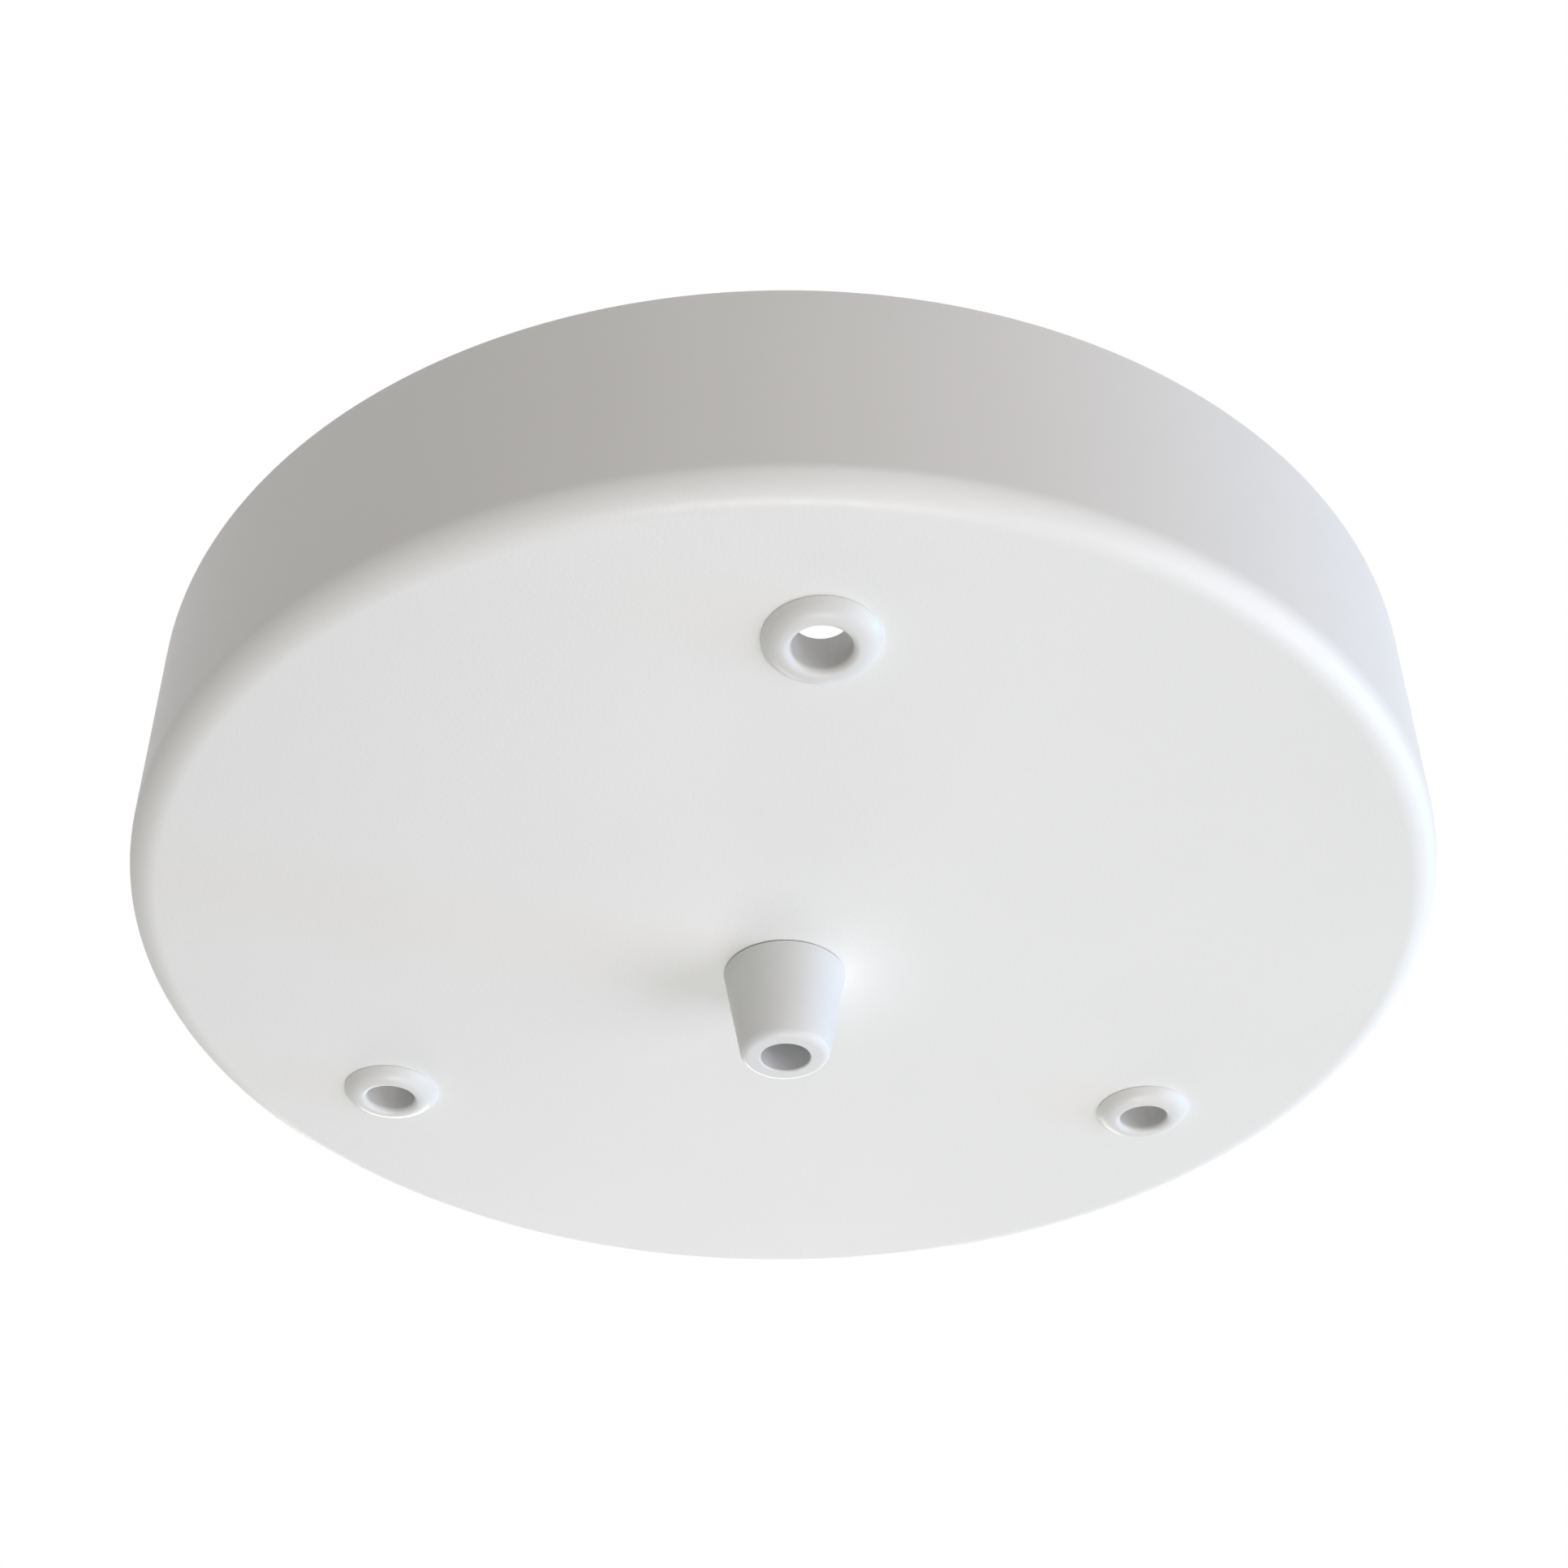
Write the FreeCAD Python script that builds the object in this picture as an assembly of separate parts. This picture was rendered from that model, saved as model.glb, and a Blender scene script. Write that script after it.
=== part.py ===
# Ceiling rose: a drawn steel cover with cable outlets round a central cord grip, hung by two side
# screws on a steel strap that carries the terminal block and is itself screwed to the ceiling.
# Frame: +Z up, the ceiling is the plane z = 0 and the cover hangs below it. The strap runs along X.
# Units are millimetres.

import FreeCAD
import Part

import math
import os

from FreeCAD import Rotation
from FreeCAD import Vector

UP = Vector(0, 0, 1)
DOWN = Vector(0, 0, -1)

# Cover, drawn from one sheet
rim_diameter = 160.0
cover_height = 28.5
wall_draft = 3.0
cover_sheet = 1.0
face_corner = 3.4
least_inner_corner = 0.2

# Cable outlets, each a soft grommet pressed into the face
outlet_count = 3
outlet_inset = 20.0
first_outlet_angle = -90.0
outlet_bore = 6.2
flange_diameter = 12.4
dome_height = 1.6
dome_edge = 0.2
dome_slope = 52.0
tangent_share = 0.98
lip_round = 0.8
neck_diameter = 9.4
barb_diameter = 11.0
barb_edge = 0.3
tail_height = 2.2
tail_diameter = 8.4
neck_clearance = 0.1

# Cord grip: a cone-shaped cap that screws on to a hollow stem and squeezes a split ring on the cable
cord_bore = 6.0
cap_height = 12.0
cap_skirt_wall = 1.05
cap_tip_wall = 0.75
cap_tip_round = 1.1
cap_edge = 0.15
cap_end_wall = 2.4
stem_thread = 10.0
stem_wall = 1.8
stem_reach = 6.8
stem_top = 1.5
stem_chamfer = 0.4
collar_ledge = 0.4
collar_height = 1.5
collar_clearance = 0.2
thread_clearance = 0.05
hole_clearance = 0.1
seat_depth = 1.8
seat_width = 1.1
ring_slack = 0.2
ring_slit = 0.8
ring_bite = 1.0
ring_clearance = 0.2
running_gap = 0.05

# Lock washer and nut on the stem, inside the cover
washer_diameter = 16.0
washer_sheet = 0.8
washer_teeth = 12
tooth_depth = 1.6
tooth_gap = 1.4
nut_flats = 14.0
nut_height = 3.0
nut_chamfer = 0.5

# Strap across the back, bent from one strip
strap_width = 18.0
strap_sheet = 1.5
strap_bend = 1.5
tab_drop = 16.0
tab_corner = 3.0
tab_gap = 0.3
collar_wall = 1.2
collar_drop = 2.0
slot_inset = 30.0
slot_length = 18.0
slot_width = 4.8
centre_hole = 10.5

# Screws
side_screw_drop = 9.0
side_thread = 3.5
side_head = 7.0
side_head_height = 2.1
side_screw_reach = 7.5
earth_thread = 4.0
earth_head = 7.6
earth_head_height = 2.4
clamp_sheet = 0.8
clamp_side = 9.0
clamp_lip = 1.4
fixing_thread = 3.0
fixing_head = 5.0
fixing_head_height = 1.8
screw_clearance = 0.05
hole_slack = 0.25
tip_recess = 0.2
point_share = 0.33
recess_share = 0.62
recess_width_share = 0.14
recess_floor_share = 0.45
head_round_share = 0.5

# Terminal block: moulded body, brass tubes and their clamping screws
pole_count = 3
pole_pitch = 10.0
pole_width = 7.6
block_base = 8.9
tower_diameter = 7.4
tower_height = 4.6
tunnel_height = 4.9
tube_diameter = 5.4
tube_bore = 3.6
tube_inset = 1.5
tube_clearance = 0.1
notch_depth = 5.0
clamp_thread = 3.0
clamp_head = 3.8
clamp_head_height = 1.8
slotted_head_chamfer = 0.4
clamp_screw_length = 4.2
well_clearance = 0.2
block_edge = 0.5

# How far a cutting tool reaches past the surface that it cuts, and the least length that counts
overcut = 1.0
tiny = 1e-6

# Sizes that follow from the ones above
slope = math.tan(math.radians(wall_draft))
rim_radius = rim_diameter / 2
face_z = -cover_height
inner_face_z = face_z + cover_sheet
wall_across = cover_sheet / math.cos(math.radians(wall_draft))
face_radius = rim_radius - cover_height * slope
outlet_circle_radius = face_radius - outlet_inset
stem_radius = stem_thread / 2
stem_bore = stem_thread - 2 * stem_wall
collar_flats = stem_thread + 2 * collar_ledge
collar_room = collar_flats / math.sqrt(3) + collar_clearance
ring_bore = cord_bore + 2 * ring_slack
ring_diameter = stem_bore + 2 * seat_width
cap_base_radius = collar_room + cap_skirt_wall
cap_tip_radius = ring_diameter / 2 + ring_clearance + cap_tip_wall
washer_z = inner_face_z
nut_z = washer_z + washer_sheet
stem_top_z = nut_z + nut_height + stem_top
side_screw_z = -side_screw_drop
strap_under_z = -strap_sheet
slot_offset = rim_radius - slot_inset
slot_inner_end = slot_offset - slot_length / 2
block_x = -(slot_inner_end + centre_hole / 2) / 2
earth_x = -block_x
block_depth = strap_width
block_under_z = strap_under_z - block_base
tunnel_z = strap_under_z - tunnel_height
tower_offset = (block_depth - tower_diameter) / 2 - block_edge


def wall_outside(z):
    """Outer radius of the cover at height z."""
    return rim_radius + z * slope


def wall_inside(z):
    """Inner radius of the cover at height z."""
    return wall_outside(z) - wall_across


def rounded_outline(corners):
    """Closed wire in the XZ plane through corners (x, z, radius), each rounded with its own arc."""
    count = len(corners)
    starts = []
    ends = []
    middles = []
    for i in range(count):
        before = Vector(corners[i - 1][0], 0, corners[i - 1][1])
        here = Vector(corners[i][0], 0, corners[i][1])
        after = Vector(corners[(i + 1) % count][0], 0, corners[(i + 1) % count][1])
        radius = corners[i][2]
        to_before = (before - here).normalize()
        to_after = (after - here).normalize()
        half = to_before.getAngle(to_after) / 2
        reach = radius / math.tan(half)
        bisector = (to_before + to_after).normalize()
        starts.append(here + to_before * reach)
        ends.append(here + to_after * reach)
        middles.append(here + bisector * (radius / math.sin(half) - radius))
    edges = []
    for i in range(count):
        if corners[i][2] > 0:
            edges.append(Part.Arc(starts[i], middles[i], ends[i]).toShape())
        following = starts[(i + 1) % count]
        if (following - ends[i]).Length > tiny:
            edges.append(Part.LineSegment(ends[i], following).toShape())
    return Part.Wire(edges)


def sharp(*points):
    """Corners with no rounding, for rounded_outline."""
    return [(x, z, 0) for x, z in points]


def turned(corners):
    """Solid of revolution about Z of the outline through corners (radius, z, rounding)."""
    return Part.Face(rounded_outline(corners)).revolve(Vector(0, 0, 0), UP, 360)


def rod(radius, start, end):
    """Cylinder from start to end."""
    return Part.makeCylinder(radius, (end - start).Length, start, end - start)


def block(low, high):
    """Box between two corners."""
    size = high - low
    return Part.makeBox(size.x, size.y, size.z, low)


def hexagon(flats, low_z, high_z):
    """Hexagonal prism about Z, flats across."""
    corner = flats / math.sqrt(3)
    points = []
    for i in range(7):
        angle = math.radians(60 * i)
        points.append(Vector(corner * math.cos(angle), corner * math.sin(angle), low_z))
    return Part.Face(Part.makePolygon(points)).extrude(Vector(0, 0, high_z - low_z))


def placed(shape, position, direction):
    """Copy of a shape made along +Z, moved to position and turned to point along direction."""
    copy = shape.copy()
    copy.Placement = FreeCAD.Placement(position, Rotation(UP, direction))
    return copy


def outlet_centres():
    """Centres of the cable outlets, on the outer face of the cover."""
    centres = []
    for i in range(outlet_count):
        angle = math.radians(first_outlet_angle + 360 * i / outlet_count)
        x = outlet_circle_radius * math.cos(angle)
        y = outlet_circle_radius * math.sin(angle)
        centres.append(Vector(x, y, face_z))
    return centres


def make_cover():
    """Drawn cup, open to the ceiling, with its cable holes and its two side screw holes."""
    hole = stem_radius + hole_clearance
    inner_corner = max(face_corner - cover_sheet, least_inner_corner)
    cup = turned([
        (hole, face_z, 0),
        (face_radius, face_z, face_corner),
        (rim_radius, 0, 0),
        (wall_inside(0), 0, 0),
        (wall_inside(inner_face_z), inner_face_z, inner_corner),
        (hole, inner_face_z, 0),
    ])
    outlet_hole = neck_diameter / 2 + neck_clearance
    for centre in outlet_centres():
        cup = cup.cut(rod(outlet_hole, centre + DOWN * overcut, centre + UP * (cover_sheet + overcut)))
    side_hole = side_thread / 2 + hole_slack
    for side in (-1, 1):
        start = Vector(side * tab_face_x(), 0, side_screw_z)
        end = Vector(side * (rim_radius + overcut), 0, side_screw_z)
        cup = cup.cut(rod(side_hole, start, end))
    return cup


def make_grommet(centre):
    """Soft cable bush: domed flange outside, groove for the sheet, and a tapered barb inside."""
    bore = outlet_bore / 2
    flange = flange_diameter / 2
    neck = neck_diameter / 2
    barb = barb_diameter / 2
    rise = dome_height - dome_edge
    lean = math.radians(dome_slope)
    shoulder = flange - rise / math.tan(lean)
    tangent = min(shoulder - bore - lip_round, rise / math.sin(lean))
    dome_round = tangent_share * tangent / math.tan(lean / 2)
    groove_top = cover_sheet + neck_clearance
    end = cover_sheet + tail_height
    profile = turned([
        (bore, -dome_height, lip_round),
        (shoulder, -dome_height, dome_round),
        (flange, -dome_edge, 0),
        (flange, 0, 0),
        (neck, 0, 0),
        (neck, groove_top, 0),
        (barb, groove_top, 0),
        (barb, groove_top + barb_edge, 0),
        (tail_diameter / 2, end, 0),
        (bore, end, 0),
    ])
    return placed(profile, centre, UP)


def make_stem():
    """Hollow threaded stem with a hexagonal collar under the face and a conical seat at its foot."""
    bore = stem_bore / 2
    foot_z = face_z - stem_reach
    tube = turned([
        (bore, stem_top_z, 0),
        (stem_radius - stem_chamfer, stem_top_z, 0),
        (stem_radius, stem_top_z - stem_chamfer, 0),
        (stem_radius, foot_z + stem_chamfer, 0),
        (stem_radius - stem_chamfer, foot_z, 0),
        (bore + seat_width, foot_z, 0),
        (bore, foot_z + seat_depth, 0),
    ])
    collar = hexagon(collar_flats, face_z - collar_height, face_z)
    collar = collar.cut(rod(bore, Vector(0, 0, face_z - collar_height), Vector(0, 0, face_z)))
    return tube.fuse(collar).removeSplitter()


def make_lock_washer():
    """Flat lock washer with teeth round its edge."""
    inner = stem_radius + hole_clearance
    outer = washer_diameter / 2
    top = washer_z + washer_sheet
    ring = turned(sharp((inner, washer_z), (outer, washer_z), (outer, top), (inner, top)))
    for i in range(washer_teeth):
        gap = block(
            Vector(outer - tooth_depth, -tooth_gap / 2, washer_z - overcut),
            Vector(outer + overcut, tooth_gap / 2, top + overcut),
        )
        gap.rotate(Vector(0, 0, 0), UP, 360 * i / washer_teeth)
        ring = ring.cut(gap)
    return ring


def make_nut():
    """Hexagon nut, chamfered on both faces and at both ends of its thread."""
    bore = stem_radius + thread_clearance
    top = nut_z + nut_height
    corner = nut_flats / math.sqrt(3)
    body = hexagon(nut_flats, nut_z, top)
    envelope = turned([
        (bore + nut_chamfer, nut_z, 0),
        (nut_flats / 2, nut_z, 0),
        (corner + nut_chamfer, nut_z + 2 * nut_chamfer, 0),
        (corner + nut_chamfer, top - 2 * nut_chamfer, 0),
        (nut_flats / 2, top, 0),
        (bore + nut_chamfer, top, 0),
        (bore, top - nut_chamfer, 0),
        (bore, nut_z + nut_chamfer, 0),
    ])
    return body.common(envelope)


def make_cap():
    """Cone-shaped cap: counterbore over the collar, thread, chamber for the ring, and the cable bore."""
    base_z = face_z - running_gap
    tip_z = face_z - cap_height
    collar_end = face_z - collar_height - collar_clearance
    thread = stem_radius + thread_clearance
    chamber = ring_diameter / 2 + ring_clearance
    thread_end = face_z - stem_reach - collar_clearance
    shoulder_z = tip_z + cap_end_wall
    return turned([
        (collar_room, base_z, 0),
        (cap_base_radius - cap_edge, base_z, 0),
        (cap_base_radius, base_z - cap_edge, 0),
        (cap_tip_radius, tip_z, cap_tip_round),
        (cord_bore / 2 + cap_edge, tip_z, 0),
        (cord_bore / 2, tip_z + cap_edge, 0),
        (cord_bore / 2, shoulder_z, 0),
        (chamber, shoulder_z, 0),
        (chamber, thread_end, 0),
        (thread, thread_end, 0),
        (thread, collar_end, 0),
        (collar_room, collar_end, 0),
    ])


def make_ring():
    """Split clamping ring: its upper end is a cone that enters the seat of the stem."""
    bore = ring_bore / 2
    outer = ring_diameter / 2
    foot_z = face_z - cap_height + cap_end_wall + running_gap
    seat_z = face_z - stem_reach
    lean = seat_width / seat_depth
    at_seat = stem_bore / 2 + seat_width - 2 * running_gap
    at_top = at_seat - ring_bite * lean
    ring = turned([
        (bore, foot_z, 0),
        (outer, foot_z, 0),
        (outer, seat_z - 2 * running_gap, 0),
        (at_seat, seat_z - 2 * running_gap, 0),
        (at_seat, seat_z, 0),
        (at_top, seat_z + ring_bite, 0),
        (bore, seat_z + ring_bite, 0),
    ])
    slit = block(
        Vector(0, -ring_slit / 2, foot_z - overcut),
        Vector(outer + overcut, ring_slit / 2, seat_z + ring_bite + overcut),
    )
    return ring.cut(slit)


def tab_face_x():
    """Outer face of a strap tab: its lower corners stay clear of the drafted cover wall."""
    room = wall_inside(-tab_drop) - tab_gap
    return math.sqrt(room ** 2 - (strap_width / 2) ** 2)


def thread_collar(thread, top, direction):
    """Drawn collar round a tapped hole, from top along direction, with the sheet above it."""
    outer = thread / 2 + collar_wall
    return rod(outer, top, top + direction * (strap_sheet + collar_drop))


def make_strap():
    """Strip bent down at both ends, with slots for the ceiling screws and tapped collars."""
    face_x = tab_face_x()
    outer_bend = strap_bend + strap_sheet
    side_view = rounded_outline([
        (-face_x, 0, outer_bend),
        (face_x, 0, outer_bend),
        (face_x, -tab_drop, 0),
        (face_x - strap_sheet, -tab_drop, 0),
        (face_x - strap_sheet, strap_under_z, strap_bend),
        (-face_x + strap_sheet, strap_under_z, strap_bend),
        (-face_x + strap_sheet, -tab_drop, 0),
        (-face_x, -tab_drop, 0),
    ])
    side_view.translate(Vector(0, -strap_width / 2, 0))
    strip = Part.Face(side_view).extrude(Vector(0, strap_width, 0))
    strip = strip.makeFillet(tab_corner, tab_corner_edges(strip))
    holes = []
    for side in (-1, 1):
        inward = Vector(-side, 0, 0)
        outer_face = Vector(side * face_x, 0, side_screw_z)
        strip = strip.fuse(thread_collar(side_thread, outer_face, inward))
        collar_end = strap_sheet + collar_drop + overcut
        holes.append(rod(side_thread / 2, outer_face - inward, outer_face + inward * collar_end))
    earth_top = Vector(earth_x, 0, 0)
    strip = strip.fuse(thread_collar(earth_thread, earth_top, DOWN))
    holes.append(rod(earth_thread / 2, earth_top + UP, earth_top + DOWN * tab_drop))
    for x in fixing_positions():
        holes.append(rod(fixing_thread / 2, Vector(x, 0, overcut), Vector(x, 0, -tab_drop)))
    holes.append(rod(centre_hole / 2, Vector(0, 0, overcut), Vector(0, 0, -tab_drop)))
    for side in (-1, 1):
        holes.append(slot_cutter(side * slot_offset))
    for hole in holes:
        strip = strip.cut(hole)
    return strip.removeSplitter()


def tab_corner_edges(strip):
    """The four short edges at the lower corners of the tabs."""
    edges = []
    for edge in strip.Edges:
        middle = edge.CenterOfMass
        low = abs(middle.z + tab_drop) < tiny
        at_side = abs(abs(middle.y) - strap_width / 2) < tiny
        if low and at_side:
            edges.append(edge)
    return edges


def slot_cutter(x):
    """Straight slot along X with round ends, centred at x."""
    radius = slot_width / 2
    half = slot_length / 2 - radius
    middle = block(
        Vector(x - half, -radius, -2 * strap_sheet),
        Vector(x + half, radius, strap_sheet),
    )
    for end in (x - half, x + half):
        middle = middle.fuse(rod(radius, Vector(end, 0, -2 * strap_sheet), Vector(end, 0, strap_sheet)))
    return middle


def make_shank(thread, length):
    """Screw shank along -Z from z = 0, with a chamfered point."""
    radius = thread / 2 - screw_clearance
    point = radius * point_share
    return turned(sharp(
        (0, -length),
        (radius - point, -length),
        (radius, -length + point),
        (radius, 0),
        (0, 0),
    ))


def recess_bar(head, head_height, reach):
    """Bar that cuts a slot in a screw head, reach to each side of its axis."""
    width = head * recess_width_share
    return block(
        Vector(-reach, -width / 2, head_height * recess_floor_share),
        Vector(reach, width / 2, head_height + overcut),
    )


def make_pan_screw(thread, length, head, head_height):
    """Screw along -Z with a rounded pan head above z = 0 and a cross recess."""
    screw = make_shank(thread, length).fuse(turned([
        (0, 0, 0),
        (head / 2, 0, 0),
        (head / 2, head_height, head_height * head_round_share),
        (0, head_height, 0),
    ]))
    for turn in (0, 90):
        bar = recess_bar(head, head_height, head * recess_share / 2)
        bar.rotate(Vector(0, 0, 0), UP, turn)
        screw = screw.cut(bar)
    return screw


def make_slotted_screw(thread, length, head, head_height):
    """Screw along -Z with a chamfered cylindrical head above z = 0 and a slot across it."""
    screw = make_shank(thread, length).fuse(turned(sharp(
        (0, 0),
        (head / 2, 0),
        (head / 2, head_height - slotted_head_chamfer),
        (head / 2 - slotted_head_chamfer, head_height),
        (0, head_height),
    )))
    return screw.cut(recess_bar(head, head_height, head / 2 + overcut))


def make_side_screw(side):
    """Screw that holds the cover to one tab of the strap. Its head stands on the outside of the wall."""
    seat_x = wall_outside(side_screw_z + side_head / 2) + running_gap
    screw = make_pan_screw(side_thread, side_screw_reach, side_head, side_head_height)
    return placed(screw, Vector(side * seat_x, 0, side_screw_z), Vector(side, 0, 0))


def make_earth_screw():
    """Earth screw in the strap, with its head towards the floor."""
    seat_z = strap_under_z - collar_drop - clamp_sheet
    screw = make_pan_screw(earth_thread, -seat_z - tip_recess, earth_head, earth_head_height)
    return placed(screw, Vector(earth_x, 0, seat_z), DOWN)


def make_earth_clamp():
    """Square clamp plate under the earth screw, with a lip up each side to hold the wire in."""
    top = strap_under_z - collar_drop
    half = clamp_side / 2
    plate = block(Vector(-half, -half, top - clamp_sheet), Vector(half, half, top))
    for side in (-1, 1):
        outer = side * half
        inner = side * (half - clamp_sheet)
        lip = block(
            Vector(min(outer, inner), -half, top - clamp_sheet),
            Vector(max(outer, inner), half, top + clamp_lip),
        )
        plate = plate.fuse(lip)
    below = Vector(0, 0, top - clamp_sheet - overcut)
    above = Vector(0, 0, top + overcut)
    plate = plate.cut(rod(earth_thread / 2 + hole_slack, below, above)).removeSplitter()
    return placed(plate, Vector(earth_x, 0, 0), UP)


def pole_positions():
    """X of each pole of the terminal block."""
    first = block_x - pole_pitch * (pole_count - 1) / 2
    return [first + pole_pitch * i for i in range(pole_count)]


def fixing_positions():
    """X of the screws that hold the terminal block, midway between its poles."""
    return [x + pole_pitch / 2 for x in pole_positions()[:-1]]


def make_terminal_body():
    """Moulded body: a tunnel for each brass tube, two screw towers a pole, and notches between poles."""
    half_depth = block_depth / 2
    poles = pole_positions()
    body = block(
        Vector(poles[0] - pole_width / 2, -half_depth, block_under_z),
        Vector(poles[-1] + pole_width / 2, half_depth, strap_under_z),
    )
    body = body.makeChamfer(block_edge, upright_edges(body))
    for x in fixing_positions():
        gap = (pole_pitch - pole_width) / 2
        for side in (-1, 1):
            near = side * (half_depth - notch_depth)
            far = side * (half_depth + overcut)
            notch = block(
                Vector(x - gap, min(near, far), block_under_z - overcut),
                Vector(x + gap, max(near, far), strap_under_z + overcut),
            )
            body = body.cut(notch)
    tower_end = block_under_z - tower_height
    for x in poles:
        for side in (-1, 1):
            foot = Vector(x, side * tower_offset, tower_end)
            head = Vector(x, side * tower_offset, block_under_z + block_edge)
            body = body.fuse(rod(tower_diameter / 2, foot, head))
    tunnel = tube_diameter / 2 + tube_clearance
    well = clamp_head / 2 + well_clearance
    end = half_depth + overcut
    for x in poles:
        body = body.cut(rod(tunnel, Vector(x, -end, tunnel_z), Vector(x, end, tunnel_z)))
        for side in (-1, 1):
            y = side * tower_offset
            body = body.cut(rod(well, Vector(x, y, tower_end - overcut), Vector(x, y, tunnel_z)))
    hole = fixing_thread / 2 + screw_clearance
    for x in fixing_positions():
        low = Vector(x, 0, block_under_z - overcut)
        body = body.cut(rod(hole, low, Vector(x, 0, strap_under_z + overcut)))
    return body.removeSplitter()


def upright_edges(solid):
    """Edges of a box that run along Z."""
    edges = []
    for edge in solid.Edges:
        box = edge.BoundBox
        if max(box.XLength, box.YLength) < tiny:
            edges.append(edge)
    return edges


def make_terminal_tube(x):
    """Brass tube that joins the wires of one pole, with its two tapped holes."""
    half = block_depth / 2 - tube_inset
    end = half + overcut
    tube = rod(tube_diameter / 2, Vector(x, -half, tunnel_z), Vector(x, half, tunnel_z))
    tube = tube.cut(rod(tube_bore / 2, Vector(x, -end, tunnel_z), Vector(x, end, tunnel_z)))
    for side in (-1, 1):
        y = side * tower_offset
        tapped = rod(clamp_thread / 2, Vector(x, y, tunnel_z), Vector(x, y, tunnel_z - tube_diameter))
        tube = tube.cut(tapped)
    return tube


def make_clamp_screw(x, side):
    """Slotted screw that clamps a wire in a brass tube. Its point is level with the bore of the tube."""
    point_z = tunnel_z - tube_bore / 2
    screw = make_slotted_screw(clamp_thread, clamp_screw_length, clamp_head, clamp_head_height)
    return placed(screw, Vector(x, side * tower_offset, point_z - clamp_screw_length), DOWN)


def make_fixing_screw(x):
    """Slotted screw that holds the terminal block to the strap."""
    length = -block_under_z - tip_recess
    screw = make_slotted_screw(fixing_thread, length, fixing_head, fixing_head_height)
    return placed(screw, Vector(x, 0, block_under_z), DOWN)


def make_parts():
    """Every piece by node name."""
    parts = {
        "cover": make_cover(),
        "grip_stem": make_stem(),
        "grip_lock_washer": make_lock_washer(),
        "grip_nut": make_nut(),
        "grip_ring": make_ring(),
        "grip_cap": make_cap(),
        "strap": make_strap(),
        "side_screw_left": make_side_screw(-1),
        "side_screw_right": make_side_screw(1),
        "earth_screw": make_earth_screw(),
        "earth_clamp": make_earth_clamp(),
        "terminal_body": make_terminal_body(),
    }
    for i, centre in enumerate(outlet_centres()):
        parts[f"cable_grommet_{i + 1}"] = make_grommet(centre)
    for i, x in enumerate(pole_positions()):
        parts[f"terminal_tube_{i + 1}"] = make_terminal_tube(x)
        parts[f"terminal_screw_front_{i + 1}"] = make_clamp_screw(x, -1)
        parts[f"terminal_screw_back_{i + 1}"] = make_clamp_screw(x, 1)
    for i, x in enumerate(fixing_positions()):
        parts[f"terminal_fixing_screw_{i + 1}"] = make_fixing_screw(x)
    return parts


def main():
    """Write one STEP file for each piece."""
    os.makedirs("parts", exist_ok=True)
    for name, shape in make_parts().items():
        shape.exportStep(f"parts/{name}.step")


main()
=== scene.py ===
"""Looks of a white ceiling rose: painted cover, cable grommets, cord grip, strap and terminal block."""

import logging
import math
from abc import ABC, abstractmethod
from dataclasses import dataclass
from enum import Enum
from typing import Iterable, Optional, Sequence

import bmesh
import bpy
from mathutils import Matrix, Quaternion, Vector

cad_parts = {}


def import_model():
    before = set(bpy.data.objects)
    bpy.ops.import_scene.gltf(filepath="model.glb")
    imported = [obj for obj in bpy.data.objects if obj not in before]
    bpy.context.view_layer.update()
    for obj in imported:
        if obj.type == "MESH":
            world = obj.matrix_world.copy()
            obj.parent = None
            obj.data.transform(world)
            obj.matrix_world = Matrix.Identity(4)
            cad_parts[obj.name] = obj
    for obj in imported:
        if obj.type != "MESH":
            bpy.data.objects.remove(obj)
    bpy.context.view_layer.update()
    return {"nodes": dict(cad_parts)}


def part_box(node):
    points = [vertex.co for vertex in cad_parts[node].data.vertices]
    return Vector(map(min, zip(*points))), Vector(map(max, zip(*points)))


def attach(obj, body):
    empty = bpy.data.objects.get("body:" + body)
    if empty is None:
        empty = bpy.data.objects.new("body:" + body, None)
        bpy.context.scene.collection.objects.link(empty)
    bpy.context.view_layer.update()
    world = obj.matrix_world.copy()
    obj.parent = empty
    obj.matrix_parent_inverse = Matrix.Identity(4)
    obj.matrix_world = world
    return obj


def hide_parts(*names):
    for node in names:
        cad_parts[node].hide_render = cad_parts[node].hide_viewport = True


MM = 0.001
FULL_TURN = 2 * math.pi
ROSE = "rose"  # the body of everything that stays still
SIDE_SCREWS = ((-1, "side_screw_left"), (1, "side_screw_right"))
UP = Vector((0, 0, 1)).freeze()
DOWN = Vector((0, 0, -1)).freeze()

ARC_STEP = math.radians(7.5)  # largest angle between two points of a rounded corner
ON_AXIS = 1e-9  # a lathe's point with a smaller radius is a single point on the axis
THREAD_STEPS = 60  # points in one turn of a thread
THREAD_FORM = (0.0, 0.12, 0.46, 0.66)  # start and end of the crest, then of the root, in pitches
SOFT_ANGLE = 40.0  # degrees from which an edge is rounded
SOFT_STEPS = 2  # faces across a rounded edge
WELD_REACH = 0.002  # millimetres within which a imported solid's points are joined
SOLID_CREASE = 32.0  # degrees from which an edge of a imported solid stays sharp
THREAD_CREASE = 35.0  # degrees from which an edge of a threaded piece stays sharp

NOISE_LOW, NOISE_HIGH = 0.3, 0.7  # the range in which most of a noise lies
MIX_FIRST, MIX_SECOND, MIX_RESULT = 6, 7, 2  # the colour sockets of a Mix node
BEVEL_SAMPLES = 4

Piece = bpy.types.Object
Socket = bpy.types.NodeSocket
Triple = tuple[float, float, float]
Corner = Triple
Colour = Triple
Point = tuple[float, float]

log = logging.getLogger("ceiling_rose")


class Recess(Enum):
    """The drive of a screw head."""

    CROSS = "cross"
    SLOT = "slot"


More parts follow.
